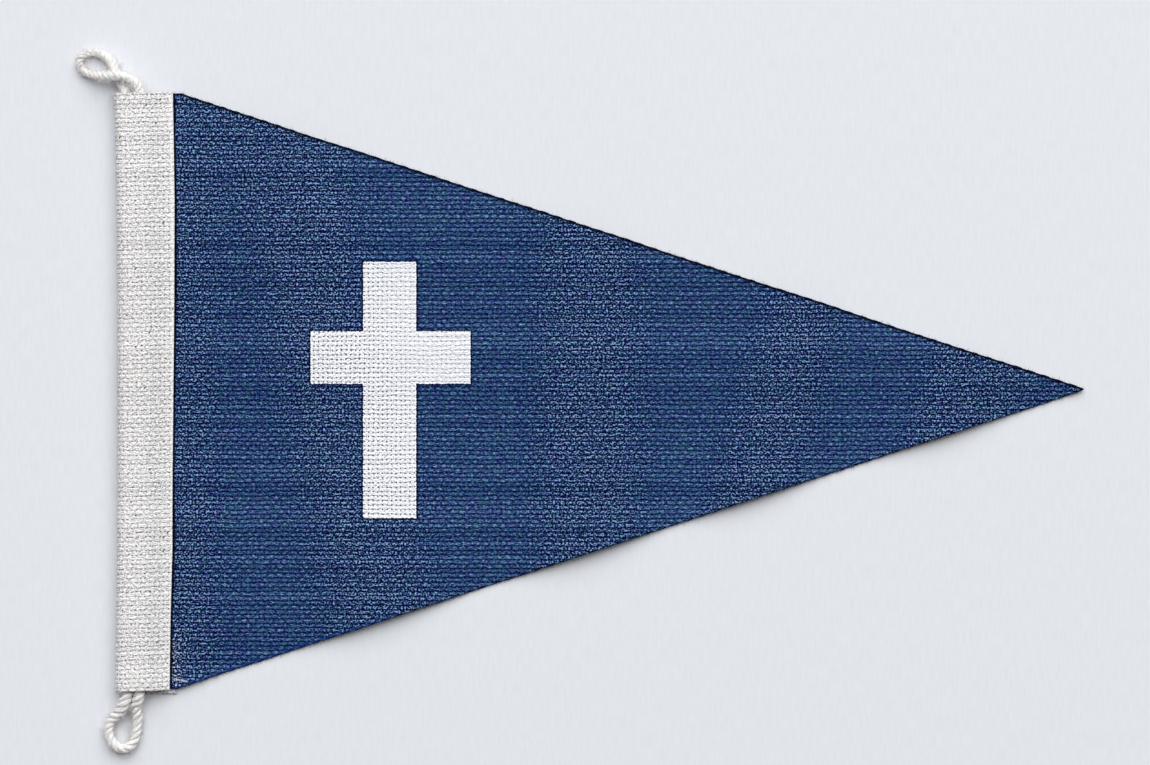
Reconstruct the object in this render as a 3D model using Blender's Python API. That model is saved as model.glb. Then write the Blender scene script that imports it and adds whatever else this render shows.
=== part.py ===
"""Vehicle pennant lying flat: a triangular cotton fly, the white heading folded round
its hoist edge, and the cotton cord that runs through the heading with a loop at each end.

Metres, +Z up. The tip points to +X, the hoist edge lies along Y at -X, and the underside
rests on z = 0. The origin is the middle of the cloth's box, at its bottom.
"""

from collections import namedtuple
import math

import bpy
import bmesh
from mathutils import Vector

MM = 0.001

# Driving sizes of the cloth
CLOTH = 1.0 * MM              # thickness of every layer
GAP = 0.3 * MM                # between pieces that touch
TIP_X = 82.0 * MM
TIP_Y = 0.7 * MM
TIP_HALF_WIDTH = 0.35 * MM
UPPER_CORNER = (-70.5 * MM, 50.7 * MM)    # where the upper edge turns towards the tip
LOWER_CORNER = (-71.3 * MM, -49.9 * MM)   # where the lower edge turns towards the tip

# Driving sizes of the cord
CORD_DIAMETER = 1.7 * MM
LAY = 3.6 * MM                # length of one full turn of its three strands
STRANDS = 3
GROOVE = 0.33 * MM            # depth between two strands
STEPS_IN_A_LAY = 10
POINTS_ROUND = 12

# Levels inside the heading: back layer, then either the cord or the fly's edge, then front
CORD_RADIUS = CORD_DIAMETER / 2
CORD_LEVEL = CLOTH + GAP + CORD_RADIUS
SLEEVE_TOP = CORD_LEVEL + CORD_RADIUS + GAP + CLOTH
FLY_LEVEL = CLOTH + GAP
SEAM_TOP = FLY_LEVEL + CLOTH + GAP + CLOTH

# The heading's two long edges bow a little. One row for each height on the hoist.
HeadingRow = namedtuple("HeadingRow", "y fold front_edge back_edge")
HEADING_ROWS = (
    HeadingRow(y=50.86, fold=-82.00, front_edge=-72.05, back_edge=-71.85),
    HeadingRow(y=44.60, fold=-81.75, front_edge=-71.93, back_edge=-71.70),
    HeadingRow(y=32.80, fold=-81.50, front_edge=-71.76, back_edge=-71.60),
    HeadingRow(y=15.80, fold=-81.33, front_edge=-71.80, back_edge=-71.60),
    HeadingRow(y=0.00, fold=-81.33, front_edge=-71.95, back_edge=-71.60),
    HeadingRow(y=-14.60, fold=-81.33, front_edge=-72.10, back_edge=-71.60),
    HeadingRow(y=-26.50, fold=-81.41, front_edge=-72.12, back_edge=-71.60),
    HeadingRow(y=-38.40, fold=-81.58, front_edge=-72.44, back_edge=-71.60),
    HeadingRow(y=-50.34, fold=-81.75, front_edge=-72.60, back_edge=-71.50),
)
HEADING_SECTIONS = 22
HEADING_SLANT = 0.03          # rise of its cut ends from the fold to the free edge
BACK_DROP = 0.65 * MM         # how far the back layer sits below the front one
FOLD_STEPS = 6
SLEEVE_WIDTH = 2 * CORD_DIAMETER + 3 * GAP    # room for the cord and its tucked end
SHOULDER = 0.7 * MM           # run of the slope from the sleeve down to the seam

# Waves across the fly. Each crest leans with height on the hoist.
Wave = namedtuple("Wave", "crest lean half_width rise")
WAVES = (
    Wave(crest=-44.2, lean=-0.19, half_width=19.0, rise=1.00),
    Wave(crest=-1.5, lean=0.00, half_width=16.5, rise=1.05),
    Wave(crest=30.7, lean=0.27, half_width=14.0, rise=0.90),
    Wave(crest=61.5, lean=0.40, half_width=14.0, rise=0.80),
    Wave(crest=84.5, lean=0.00, half_width=8.0, rise=0.35),
)
HOIST_EDGE = 6.25 * MM        # from the heading's fold to the fly's hidden edge
RAMP_START = -71.0 * MM       # the fly comes down from between the heading's layers
RAMP_END = -61.5 * MM
FLY_COLUMNS = 46
FLY_ROWS = 14

# Route of the cord's centre line: both ends are tucked back into the heading
RoutePoint = namedtuple("RoutePoint", "x y z")
CORD_ROUTE = (
    RoutePoint(x=-77.43, y=38.69, z=2.15),
    RoutePoint(x=-77.60, y=49.20, z=2.15),
    RoutePoint(x=-77.72, y=51.05, z=2.22),
    RoutePoint(x=-78.45, y=52.55, z=2.62),
    RoutePoint(x=-80.20, y=53.50, z=2.95),
    RoutePoint(x=-82.25, y=53.68, z=2.88),
    RoutePoint(x=-84.37, y=53.72, z=1.95),
    RoutePoint(x=-86.20, y=54.00, z=1.15),
    RoutePoint(x=-87.48, y=54.86, z=0.90),
    RoutePoint(x=-87.90, y=56.05, z=0.88),
    RoutePoint(x=-87.30, y=57.15, z=0.88),
    RoutePoint(x=-86.00, y=57.66, z=0.88),
    RoutePoint(x=-84.25, y=57.40, z=0.88),
    RoutePoint(x=-82.60, y=56.20, z=0.88),
    RoutePoint(x=-81.55, y=54.00, z=0.90),
    RoutePoint(x=-80.75, y=52.25, z=1.35),
    RoutePoint(x=-80.05, y=51.15, z=2.00),
    RoutePoint(x=-79.82, y=49.80, z=2.15),
    RoutePoint(x=-79.35, y=32.77, z=2.15),
    RoutePoint(x=-79.18, y=15.83, z=2.15),
    RoutePoint(x=-79.18, y=-14.65, z=2.15),
    RoutePoint(x=-79.43, y=-38.35, z=2.15),
    RoutePoint(x=-79.58, y=-49.36, z=2.15),
    RoutePoint(x=-79.70, y=-50.80, z=2.15),
    RoutePoint(x=-80.08, y=-52.00, z=2.12),
    RoutePoint(x=-80.58, y=-53.12, z=1.95),
    RoutePoint(x=-81.40, y=-54.15, z=1.60),
    RoutePoint(x=-82.38, y=-55.20, z=1.10),
    RoutePoint(x=-82.92, y=-56.45, z=0.88),
    RoutePoint(x=-82.80, y=-58.00, z=0.88),
    RoutePoint(x=-82.08, y=-59.30, z=0.88),
    RoutePoint(x=-80.85, y=-60.05, z=0.88),
    RoutePoint(x=-79.45, y=-59.72, z=0.88),
    RoutePoint(x=-78.60, y=-58.50, z=0.88),
    RoutePoint(x=-78.10, y=-55.45, z=0.88),
    RoutePoint(x=-78.12, y=-54.15, z=0.90),
    RoutePoint(x=-78.35, y=-52.75, z=1.30),
    RoutePoint(x=-77.80, y=-51.40, z=2.05),
    RoutePoint(x=-77.54, y=-50.00, z=2.15),
    RoutePoint(x=-77.47, y=-39.20, z=2.15),
)
MOUTH = 50.0 * MM             # the strands stand out where the cord is past this height
TWIST_FADE = 1.8 * MM         # and fade to a plain tube over this length of the sleeve
PLAIN_STEP = 3.6 * MM         # spacing of the rings along the hidden stretch
CURVE_SAMPLES = 24            # fine samples between two points of the route


def clear_scene():
    for item in list(bpy.data.objects):
        bpy.data.objects.remove(item, do_unlink=True)


def cloth_material(name, colour, roughness):
    material = bpy.data.materials.new(name)
    material.use_nodes = True
    shader = material.node_tree.nodes["Principled BSDF"]
    shader.inputs["Base Color"].default_value = (*colour, 1.0)
    shader.inputs["Roughness"].default_value = roughness
    shader.inputs["Metallic"].default_value = 0.0
    return material


def add_node(name, points, faces, material, smooth_angle):
    """One closed solid as an object of its own, its faces turned outwards."""
    mesh = bpy.data.meshes.new(name)
    mesh.from_pydata(points, [], faces)
    work = bmesh.new()
    work.from_mesh(mesh)
    bmesh.ops.recalc_face_normals(work, faces=work.faces)
    work.to_mesh(mesh)
    work.free()
    mesh.materials.append(material)
    mesh.shade_smooth()
    mesh.set_sharp_from_angle(angle=math.radians(smooth_angle))
    node = bpy.data.objects.new(name, mesh)
    bpy.context.scene.collection.objects.link(node)
    return node


def sheet_faces(rows, columns):
    """Faces of a sheet with two skins of rows x columns points, closed round its rim."""
    def skin(row, column):
        return row * columns + column

    def other(row, column):
        return rows * columns + skin(row, column)

    faces = []
    for r in range(rows - 1):
        for c in range(columns - 1):
            corners = ((r, c), (r, c + 1), (r + 1, c + 1), (r + 1, c))
            faces.append([skin(*corner) for corner in corners])
            faces.append([other(*corner) for corner in reversed(corners)])
    for c in range(columns - 1):
        for r in (0, rows - 1):
            faces.append([skin(r, c), other(r, c), other(r, c + 1), skin(r, c + 1)])
    for r in range(rows - 1):
        for c in (0, columns - 1):
            faces.append([skin(r, c), skin(r + 1, c), other(r + 1, c), other(r, c)])
    return faces


def ease(share):
    """Goes from 0 to 1 with a level start and end."""
    share = min(max(share, 0.0), 1.0)
    return share * share * (3 - 2 * share)


def heading_edges(y):
    """The fold, front edge and back edge at one height, read between the table's rows."""
    rows = sorted(HEADING_ROWS)
    y = min(max(y / MM, rows[0].y), rows[-1].y)
    for low, high in zip(rows, rows[1:]):
        if y <= high.y:
            break
    share = (y - low.y) / (high.y - low.y)
    return [(a + (b - a) * share) * MM for a, b in zip(low[1:], high[1:])]


def heading_profile(fold, front_edge, back_edge):
    """Pairs of outer and inner points (x, z) round the folded strip, back edge to front.

    The third value of each pair is the share of the back layer's drop that it takes.
    """
    outer_radius = SLEEVE_TOP / 2
    inner_radius = outer_radius - CLOTH
    axis = fold + outer_radius
    sleeve_end = fold + CLOTH + SLEEVE_WIDTH
    slope_end = sleeve_end + SHOULDER
    slope_shift = 0.4 * CLOTH
    pairs = [((back_edge, 0.0), (back_edge, CLOTH), 1.0)]
    pairs.append(((axis + CORD_DIAMETER, 0.0), (axis + CORD_DIAMETER, CLOTH), 1.0))
    for step in range(FOLD_STEPS + 1):
        turn = math.pi * (0.5 + step / FOLD_STEPS)
        across, up = math.cos(turn), -math.sin(turn)
        outer = (axis + outer_radius * across, outer_radius + outer_radius * up)
        inner = (axis + inner_radius * across, outer_radius + inner_radius * up)
        pairs.append((outer, inner, 0.0))
    pairs.append(((sleeve_end + slope_shift, SLEEVE_TOP), (sleeve_end, SLEEVE_TOP - CLOTH), 0.0))
    pairs.append(((slope_end + slope_shift, SEAM_TOP), (slope_end, SEAM_TOP - CLOTH), 0.0))
    pairs.append(((front_edge, SEAM_TOP), (front_edge, SEAM_TOP - CLOTH), 0.0))
    return pairs


def build_heading(material):
    """White strip folded over the cord and the fly's hoist edge, open at both ends."""
    top = HEADING_ROWS[0].y * MM
    bottom = HEADING_ROWS[-1].y * MM
    skins = ([], [])
    for section in range(HEADING_SECTIONS):
        height = bottom + (top - bottom) * section / (HEADING_SECTIONS - 1)
        fold, front_edge, back_edge = heading_edges(height)
        middle = (fold + front_edge) / 2
        profile = heading_profile(fold, front_edge, back_edge)
        for outer, inner, drop_share in profile:
            for skin, (x, z) in zip(skins, (outer, inner)):
                y = height + HEADING_SLANT * (x - middle) - BACK_DROP * drop_share
                skin.append((x, y, z))
    faces = sheet_faces(HEADING_SECTIONS, len(profile))
    return add_node("heading", skins[0] + skins[1], faces, material, 40)


def fly_lift(x, y):
    """Height of the fly's underside over the surface that it lies on."""
    lift = FLY_LEVEL * (1 - ease((x - RAMP_START) / (RAMP_END - RAMP_START)))
    free = ease((x - RAMP_START) / (RAMP_END - RAMP_START))
    for wave in WAVES:
        offset = (x - wave.crest * MM - wave.lean * y) / (wave.half_width * MM)
        if abs(offset) < 1:
            lift += free * wave.rise * MM * math.cos(offset * math.pi / 2) ** 2
    return lift


def edge_height(x, corner, tip_y):
    """Height on the hoist of one cut edge, level as far as its corner."""
    share = max(0.0, (x - corner[0]) / (TIP_X - corner[0]))
    return corner[1] + (tip_y - corner[1]) * share


def build_fly(material):
    """Printed cotton triangle with raw cut edges, lying in shallow waves."""
    hoist_x = HEADING_ROWS[4].fold * MM + HOIST_EDGE
    skins = ([], [])
    for column in range(FLY_COLUMNS):
        x = hoist_x + (TIP_X - hoist_x) * column / (FLY_COLUMNS - 1)
        upper = edge_height(x, UPPER_CORNER, TIP_Y + TIP_HALF_WIDTH)
        lower = edge_height(x, LOWER_CORNER, TIP_Y - TIP_HALF_WIDTH)
        for row in range(FLY_ROWS):
            y = lower + (upper - lower) * row / (FLY_ROWS - 1)
            lift = fly_lift(x, y)
            skins[0].append((x, y, lift + CLOTH))
            skins[1].append((x, y, lift))
    faces = sheet_faces(FLY_COLUMNS, FLY_ROWS)
    return add_node("fly", skins[0] + skins[1], faces, material, 40)


def cord_curve():
    """Fine points of a smooth curve through the route's own points."""
    knots = [Vector(point) * MM for point in CORD_ROUTE]
    knots = [2 * knots[0] - knots[1]] + knots + [2 * knots[-1] - knots[-2]]
    curve = []
    for before, start, end, after in zip(knots, knots[1:], knots[2:], knots[3:]):
        chord = (end - start).length
        leave = (end - before) * chord / ((start - before).length + chord)
        arrive = (after - start) * chord / ((after - end).length + chord)
        for sample in range(CURVE_SAMPLES):
            t = sample / CURVE_SAMPLES
            curve.append(
                start * (2 * t ** 3 - 3 * t ** 2 + 1)
                + leave * (t ** 3 - 2 * t ** 2 + t)
                + end * (3 * t ** 2 - 2 * t ** 3)
                + arrive * (t ** 3 - t ** 2)
            )
    curve.append(knots[-2])
    return curve


def cord_rings():
    """Centre, direction, strand depth and turn of each ring along the cord."""
    curve = cord_curve()
    fine_step = LAY / STEPS_IN_A_LAY
    rings = []
    turn = 0.0
    travelled = 0.0
    wanted = 0.0
    for here, ahead in zip(curve, curve[1:]):
        if travelled >= wanted:
            shown = ease((abs(here.y) - MOUTH + TWIST_FADE) / TWIST_FADE)
            step = fine_step if shown > 0 else PLAIN_STEP
            rings.append((here, (ahead - here).normalized(), shown, turn))
            if shown > 0:
                turn += 2 * math.pi / STEPS_IN_A_LAY
            wanted += step
        travelled += (ahead - here).length
    return rings


def build_cord(material):
    """Three-strand cord, its strands raised at the two loops and plain inside the heading."""
    points = []
    faces = []
    across = Vector((0, 0, 1))
    rings = cord_rings()
    for number, (centre, along, shown, turn) in enumerate(rings):
        across = (across - along * across.dot(along)).normalized()
        side = along.cross(across)
        for spoke in range(POINTS_ROUND):
            angle = 2 * math.pi * spoke / POINTS_ROUND
            dip = 1 - abs(math.cos(angle * STRANDS / 2))
            radius = CORD_RADIUS - GROOVE * dip * shown
            offset = across * math.cos(angle + turn) + side * math.sin(angle + turn)
            points.append(tuple(centre + offset * radius))
        if number:
            first = (number - 1) * POINTS_ROUND
            second = number * POINTS_ROUND
            for spoke in range(POINTS_ROUND):
                after = (spoke + 1) % POINTS_ROUND
                faces.append((first + spoke, first + after, second + spoke))
                faces.append((first + after, second + after, second + spoke))
    last = (len(rings) - 1) * POINTS_ROUND
    faces.append(list(range(POINTS_ROUND)))
    faces.append([last + spoke for spoke in range(POINTS_ROUND)])
    return add_node("hoist_cord", points, faces, material, 50)


clear_scene()
build_fly(cloth_material("blue_cloth", (0.027, 0.063, 0.150), 0.9))
build_heading(cloth_material("white_cloth", (0.70, 0.69, 0.69), 0.9))
build_cord(cloth_material("cord", (0.72, 0.69, 0.60), 0.85))
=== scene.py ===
"""Looks of a small vehicle pennant that lies flat and is seen from straight above.

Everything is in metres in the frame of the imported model: the tip points to +X, the hoist
edge lies along Y, and the surface under it is z = 0.
"""

import math

import bmesh
import bpy
import numpy as np
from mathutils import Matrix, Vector, noise
from mathutils.kdtree import KDTree


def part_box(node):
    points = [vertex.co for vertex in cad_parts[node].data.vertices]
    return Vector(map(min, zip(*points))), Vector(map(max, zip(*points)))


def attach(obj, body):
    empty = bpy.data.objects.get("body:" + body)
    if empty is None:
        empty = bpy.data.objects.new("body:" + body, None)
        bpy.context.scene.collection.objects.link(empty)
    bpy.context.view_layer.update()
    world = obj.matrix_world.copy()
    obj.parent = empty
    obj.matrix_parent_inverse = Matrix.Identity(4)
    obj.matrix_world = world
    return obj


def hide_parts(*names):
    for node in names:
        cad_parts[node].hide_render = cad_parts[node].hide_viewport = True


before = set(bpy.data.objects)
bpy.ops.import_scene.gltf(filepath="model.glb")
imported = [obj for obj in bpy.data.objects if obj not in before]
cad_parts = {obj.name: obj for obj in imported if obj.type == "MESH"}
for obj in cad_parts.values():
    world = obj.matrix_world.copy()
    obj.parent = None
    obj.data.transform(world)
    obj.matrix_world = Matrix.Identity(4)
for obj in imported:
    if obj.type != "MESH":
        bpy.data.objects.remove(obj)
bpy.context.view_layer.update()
scene = bpy.context.scene
MM = 0.001


# View
# The pennant was laid on a flatbed, so it is seen from straight above without perspective.
# A very long lens does the same here.
VIEW_WIDTH = 194.7 * MM
VIEW_CENTRE = (-4.03 * MM, 1.86 * MM)
VIEW_LENS = 250.0
SENSOR = 36.0


def add_object(name, data):
    """Puts a camera, light, curve or mesh into the scene."""
    added = bpy.data.objects.new(name, data)
    scene.collection.objects.link(added)
    return added


camera_data = bpy.data.cameras.new("camera")
camera_data.lens = VIEW_LENS
camera_data.sensor_width = SENSOR
camera_data.clip_end = 20
camera = add_object("camera", camera_data)
camera.location = (*VIEW_CENTRE, VIEW_WIDTH * VIEW_LENS / SENSOR)
scene.camera = camera
scene.view_settings.view_transform = "Standard"


# Surface and light
# A pale, slightly blue sheet lies under the pennant. One long lamp stands on its far side, so
# the rows of the weave are lit from there and shadows fall towards the viewer.
SURFACE_COLOUR = (0.700, 0.721, 0.761)
SURFACE_TONES = (0.945, 1.06)     # its darkest and lightest share of that colour
SURFACE_GRAIN = (2200.0, 350.0, 1.0)
SURFACE_HALF = 1.5
LAMP_TILT = 40.0                  # degrees from the vertical towards +Y
LAMP_DISTANCE = 3.0
LAMP_ASIDE = 0.25                 # how far it stands to the right
LAMP_LENGTH = 4.8
LAMP_WIDTH = 3.9
LAMP_WATTS = 190.0
AMBIENT = 0.13
GLOSS = 0.03                      # cotton hardly shines, and neither does the sheet


def put(tree, kind, inputs=None, **settings):
    """Adds one node, sets its options and gives its inputs their values or links."""
    node = tree.nodes.new(kind)
    for name, value in settings.items():
        setattr(node, name, value)
    for key, value in (inputs or {}).items():
        socket = node.inputs[key]
        value = getattr(value, "socket", value)
        if isinstance(value, bpy.types.NodeSocket):
            tree.links.new(value, socket)
        else:
            socket.default_value = value
    return node


def new_material(name, colour, roughness, sheen=0.0):
    """A cloth-like Principled material, its node tree and its shader."""
    material = bpy.data.materials.new(name)
    material.use_nodes = True
    shader = material.node_tree.nodes["Principled BSDF"]
    shader.inputs["Base Color"].default_value = (*colour, 1.0)
    shader.inputs["Roughness"].default_value = roughness
    shader.inputs["Specular IOR Level"].default_value = GLOSS
    shader.inputs["Sheen Weight"].default_value = sheen
    shader.inputs["Sheen Roughness"].default_value = 0.5
    return material, material.node_tree, shader


def mixed(tree, share, first, second):
    """A colour between two colours or sockets: the first where share is 0, the second at 1."""
    inputs = {"Factor": share}
    for place, colour in ((6, first), (7, second)):
        is_socket = isinstance(colour, bpy.types.NodeSocket)
        inputs[place] = colour if is_socket else (*colour, 1.0)
    return put(tree, "ShaderNodeMix", inputs, data_type="RGBA").outputs[2]


surface_material, surface_tree, surface_shader = new_material("pale_sheet", SURFACE_COLOUR, 0.9)
spot = put(surface_tree, "ShaderNodeTexCoord")
grain_place = put(
    surface_tree,
    "ShaderNodeMapping",
    {"Vector": spot.outputs["Object"], "Scale": SURFACE_GRAIN},
)
grain = put(
    surface_tree,
    "ShaderNodeTexNoise",
    {"Vector": grain_place.outputs[0], "Scale": 1.0, "Detail": 2.0},
)
sheet_colour = mixed(
    surface_tree,
    grain.outputs["Fac"],
    [part * SURFACE_TONES[0] for part in SURFACE_COLOUR],
    [part * SURFACE_TONES[1] for part in SURFACE_COLOUR],
)
surface_tree.links.new(sheet_colour, surface_shader.inputs["Base Color"])
surface_mesh = bpy.data.meshes.new("surface")
surface_mesh.from_pydata(
    [
        (-SURFACE_HALF, -SURFACE_HALF, 0),
        (SURFACE_HALF, -SURFACE_HALF, 0),
        (SURFACE_HALF, SURFACE_HALF, 0),
        (-SURFACE_HALF, SURFACE_HALF, 0),
    ],
    [],
    [(0, 1, 2, 3)],
)
surface_mesh.materials.append(surface_material)
surface = add_object("surface", surface_mesh)

lamp_data = bpy.data.lights.new("long_lamp", "AREA")
lamp_data.shape = "RECTANGLE"
lamp_data.size = LAMP_LENGTH
lamp_data.size_y = LAMP_WIDTH
lamp_data.energy = LAMP_WATTS
lamp = add_object("long_lamp", lamp_data)
lean = math.radians(LAMP_TILT)
lamp.location = (LAMP_ASIDE, LAMP_DISTANCE * math.sin(lean), LAMP_DISTANCE * math.cos(lean))
lamp.rotation_euler = (-lean, 0, 0)

world = bpy.data.worlds.new("room")
world.use_nodes = True
world.node_tree.nodes["Background"].inputs["Color"].default_value = (1, 1, 1, 1)
world.node_tree.nodes["Background"].inputs["Strength"].default_value = AMBIENT
scene.world = world


# Hoist cord
# Soft cotton cord of three strands, twisted so that they slope like the middle of a Z. One
# length runs through the heading. It is bent into a loop past each end and tucked back in.
CORD_DIAMETER = 1.75 * MM
STRAND_RADIUS = 0.43 * MM
LAY = 3.6 * MM
UPPER_LAY = 2.7 * MM          # the twist is tighter in the upper loop
UPPER_LENGTH = 45.0 * MM
CORD_STEP = 0.2 * MM
LOOSE_SPOT = -53.2 * MM       # the strands part a little where the legs of the lower loop meet
LOOSE_SHARE = 0.3             # by this share of the circle that they run on
LOOSE_STRETCH = (0.8, 3.0)    # fully up to so many millimetres away, fading out to so many
SLIM_STRETCH = (83.0, 86.0)   # millimetres to the left, where the pulled upper loop gets thinner
SLIM_SHARE = 0.22             # by this share
# Painted shade: the cord's colour darkens fully within the first of these distances from its
# middle, between the strands, and not at all past the second.
CREVICE_SHADE = (0.45 * MM, 0.80 * MM)   # from the cord's middle: deep between strands, out on them
STRAND_FLOOR = 0.03 * MM      # room under a strand that lies on the surface
SLEEVE_MOUTH = 50.6 * MM      # the cord is in the open past this height on the hoist
HAIR_FLOOR = 0.04 * MM        # loose fibres that would sink into the surface lie on it
CORD_ROUTE = (
    # x, y, z in millimetres, from the end tucked in at the top
    (-77.43, 38.69, 2.15),
    (-77.60, 49.20, 2.15),
    (-77.72, 51.05, 2.22),
    (-78.45, 52.55, 2.62),
    (-80.20, 53.50, 2.95),
    (-82.25, 53.68, 2.88),
    (-84.37, 53.72, 1.95),
    (-86.20, 54.00, 1.15),
    (-87.48, 54.86, 0.90),
    (-87.90, 56.05, 0.88),
    (-87.30, 57.15, 0.88),
    (-86.00, 57.66, 0.88),
    (-84.25, 57.40, 0.88),
    (-82.60, 56.20, 0.88),
    (-81.55, 54.00, 0.90),
    (-80.75, 52.25, 1.35),
    (-80.05, 51.15, 2.00),
    (-79.82, 49.80, 2.15),
    (-79.35, 32.77, 2.15),
    (-79.18, 15.83, 2.15),
    (-79.18, -14.65, 2.15),
    (-79.43, -38.35, 2.15),
    (-79.58, -49.36, 2.15),
    (-79.70, -50.80, 2.15),
    (-80.08, -52.00, 2.12),
    (-80.58, -53.12, 1.95),
    (-81.40, -54.15, 1.60),
    (-82.38, -55.20, 1.10),
    (-82.92, -56.45, 0.88),
    (-82.80, -58.00, 0.88),
    (-82.08, -59.30, 0.88),
    (-80.85, -60.05, 0.88),
    (-79.45, -59.72, 0.88),
    (-78.60, -58.50, 0.88),
    (-78.10, -55.45, 0.88),
    (-78.12, -54.15, 0.90),
    (-78.35, -52.75, 1.30),
    (-77.80, -51.40, 2.05),
    (-77.54, -50.00, 2.15),
    (-77.47, -39.20, 2.15),
)
ROUTE_SAMPLES = 24


def smooth_route(route, samples):
    """Close points on a smooth curve through the route's own points."""
    knots = [Vector(point) * MM for point in route]
    knots = [2 * knots[0] - knots[1]] + knots + [2 * knots[-1] - knots[-2]]
    curve = []
    for before, start, end, after in zip(knots, knots[1:], knots[2:], knots[3:]):
        chord = (end - start).length
        leave = (end - before) * chord / ((start - before).length + chord)
        arrive = (after - start) * chord / ((after - end).length + chord)
        for sample in range(samples):
            t = sample / samples
            curve.append(
                start * (2 * t ** 3 - 3 * t ** 2 + 1)
                + leave * (t ** 3 - 2 * t ** 2 + t)
                + end * (3 * t ** 2 - 2 * t ** 3)
                + arrive * (t ** 3 - t ** 2)
            )
    curve.append(knots[-2])
    return curve


def curve_object(name, points):
    """An open curve through the points, as a guide for Geometry Nodes."""
    data = bpy.data.curves.new(name, "CURVE")
    data.dimensions = "3D"
    data.twist_mode = "MINIMUM"
    spline = data.splines.new("POLY")
    spline.points.add(len(points) - 1)
    for slot, point in zip(spline.points, points):
        slot.co = (*point, 1.0)
    return add_object(name, data)


def geometry_tree(name, sizes):
    """A Geometry Nodes tree with named number inputs and their values."""
    tree = bpy.data.node_groups.new(name, "GeometryNodeTree")
    tree.interface.new_socket("Geometry", in_out="INPUT", socket_type="NodeSocketGeometry")
    tree.interface.new_socket("Geometry", in_out="OUTPUT", socket_type="NodeSocketGeometry")
    for label, value in sizes.items():
        kind = "NodeSocketMaterial" if isinstance(value, bpy.types.Material) else "NodeSocketFloat"
        tree.interface.new_socket(label, in_out="INPUT", socket_type=kind)
    return tree, tree.nodes.new("NodeGroupInput"), tree.nodes.new("NodeGroupOutput")


def grow(guide, tree, sizes, name):
    """Runs a Geometry Nodes tree on a guide and returns its result as a plain mesh piece."""
    modifier = guide.modifiers.new("grow", "NODES")
    modifier.node_group = tree
    for item in tree.interface.items_tree:
        if item.in_out == "INPUT" and item.name in sizes:
            modifier[item.identifier] = sizes[item.name]
    bpy.context.view_layer.update()
    grown = guide.evaluated_get(bpy.context.evaluated_depsgraph_get())
    mesh = bpy.data.meshes.new_from_object(grown)
    mesh.name = name
    bpy.data.objects.remove(guide)
    return add_object(name, mesh)


class Signal:
    """A number in a node tree that is added, scaled and compared like any other."""

    def __init__(self, tree, socket):
        self.tree = tree
        self.socket = socket

    def make(self, operation, *others, **settings):
        values = {0: self.socket}
        for place, other in enumerate(others, 1):
            values[place] = getattr(other, "socket", other)
        node = put(self.tree, "ShaderNodeMath", values, operation=operation, **settings)
        return Signal(self.tree, node.outputs[0])

    def __add__(self, other):
        return self.make("ADD", other)

    def __sub__(self, other):
        return self.make("SUBTRACT", other)

    def __rsub__(self, other):
        return self.make("MULTIPLY", -1.0).make("ADD", other)

    def __mul__(self, other):
        return self.make("MULTIPLY", other)

    def __truediv__(self, other):
        return self.make("DIVIDE", other)

    def clamped(self):
        return self.make("ADD", 0.0, use_clamp=True)

    def ramp(self, low, high):
        """0 at low, 1 at high, eased between them."""
        node = put(
            self.tree,
            "ShaderNodeMapRange",
            {"Value": self.socket, "From Min": low, "From Max": high},
            interpolation_type="SMOOTHSTEP",
        )
        return Signal(self.tree, node.outputs["Result"])


def colour_ramp(tree, factor, stops):
    """A smooth run of colours through (place, colour) stops."""
    node = put(tree, "ShaderNodeValToRGB", {0: factor})
    band = node.color_ramp.elements
    while len(band) < len(stops):
        band.new(0.5)
    for element, (place, colour) in zip(band, stops):
        element.position = place
        element.color = (*colour, 1.0)
    return node.outputs["Color"]


def kept_measure(tree, label):
    """A number that the mesh keeps at its points."""
    node = put(tree, "ShaderNodeAttribute", attribute_name=label)
    return Signal(tree, node.outputs["Fac"])


def add_bump(tree, shader, strength, distance, height):
    """Lets a height in the material tilt the light on it."""
    bump = put(
        tree,
        "ShaderNodeBump",
        {"Strength": strength, "Distance": distance, "Height": height},
    )
    tree.links.new(bump.outputs["Normal"], shader.inputs["Normal"])


cord_material, cord_tree, cord_shader = new_material(
    "cotton_cord", (0.80, 0.77, 0.74), 0.85, sheen=0.8
)
place = put(cord_tree, "ShaderNodeAttribute", attribute_name="strand_place")
spot = put(cord_tree, "ShaderNodeSeparateXYZ", {0: place.outputs["Vector"]})
along = Signal(cord_tree, spot.outputs["X"]) / MM
round_it = Signal(cord_tree, spot.outputs["Y"]) * (2 * math.pi)
strand_number = Signal(cord_tree, spot.outputs["Z"]) * 30.0
twist = along * 1.2
yarn_place = put(
    cord_tree,
    "ShaderNodeCombineXYZ",
    {
        "X": (round_it - twist).make("COSINE") * 0.9,
        "Y": (round_it - twist).make("SINE") * 0.9,
        "Z": along * 0.7 + strand_number,
    },
)
yarn = put(
    cord_tree,
    "ShaderNodeTexNoise",
    {"Vector": yarn_place.outputs[0], "Scale": 1.6, "Detail": 3.0, "Roughness": 0.75},
)
yarn = (Signal(cord_tree, yarn.outputs["Fac"]) - 0.5) * 3.6 + 0.76
# Painted shade: the colour darkens towards the warm dark stop where the strands' surface lies deep
# between them.
cord_colour = colour_ramp(
    cord_tree,
    (yarn + 0.14 - kept_measure(cord_tree, "crevice_shade") * 0.50).clamped(),
    (
        (0.0, (0.50, 0.42, 0.39)),
        (0.34, (0.96, 0.91, 0.89)),
        (0.55, (1.00, 1.00, 0.985)),
    ),
)
cord_tree.links.new(cord_colour, cord_shader.inputs["Base Color"])
add_bump(cord_tree, cord_shader, 0.8, 0.16 * MM, yarn)


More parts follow.
